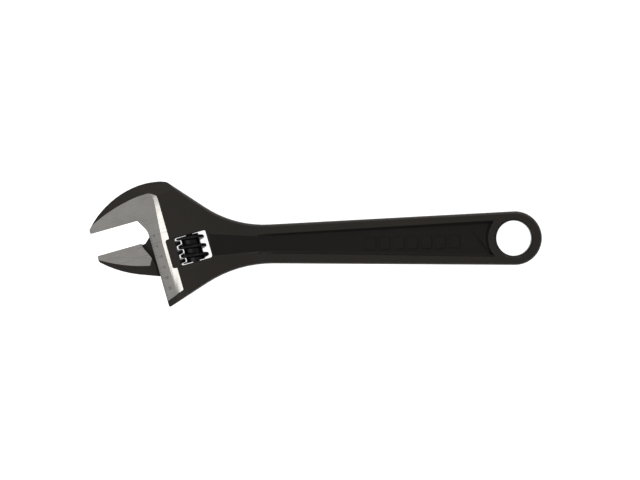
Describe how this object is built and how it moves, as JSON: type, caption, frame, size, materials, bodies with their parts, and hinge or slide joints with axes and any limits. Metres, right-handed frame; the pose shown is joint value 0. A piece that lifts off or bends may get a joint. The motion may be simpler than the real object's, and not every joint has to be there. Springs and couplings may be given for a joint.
{
  "type": "adjustable wrench",
  "caption": "Adjustable open-end wrench, 8 inch class: black forged body, ground jaw faces, sliding jaw driven by a knurled worm, I-section handle with a hanging hole.",
  "frame": {"origin": "middle of the box in X and Y, at its lowest point in Z", "axes": "+X along the handle towards the hanging hole, +Y from the moving jaw towards the fixed jaw, +Z out of the flat side"},
  "size_m": [0.2056, 0.057, 0.0128],
  "materials": {
    "forged_black": "matt black phosphate on forged steel",
    "ground_steel": "finely ground steel",
    "worm_steel": "oiled black steel",
    "pin_steel": "dark turned steel",
    "spring_steel": "drawn spring wire"
  },
  "bodies": {
    "root": {"body": "forged_black", "worm_pin": "pin_steel", "worm_spring": "spring_steel"},
    "jaw": {"movable_jaw": "ground_steel"},
    "knurl": {"worm": "worm_steel"}
  },
  "joints": [
    {"name": "worm_spin", "type": "hinge", "parent": "root", "child": "knurl", "pos_m": [-0.0562, -0.00206, 0.0064], "axis": [-0.2504, 0.9681, 0], "range_deg": [-1264, 889.2]},
    {"name": "jaw_slide", "type": "slide", "parent": "root", "child": "jaw", "axis": [-0.2504, 0.9681, 0], "range_m": [-0.0145, 0.0102]}
  ],
  "couplings": [
    {"joint": "worm_spin", "follows": "jaw_slide", "rad_per_m": 1521.4}
  ]
}
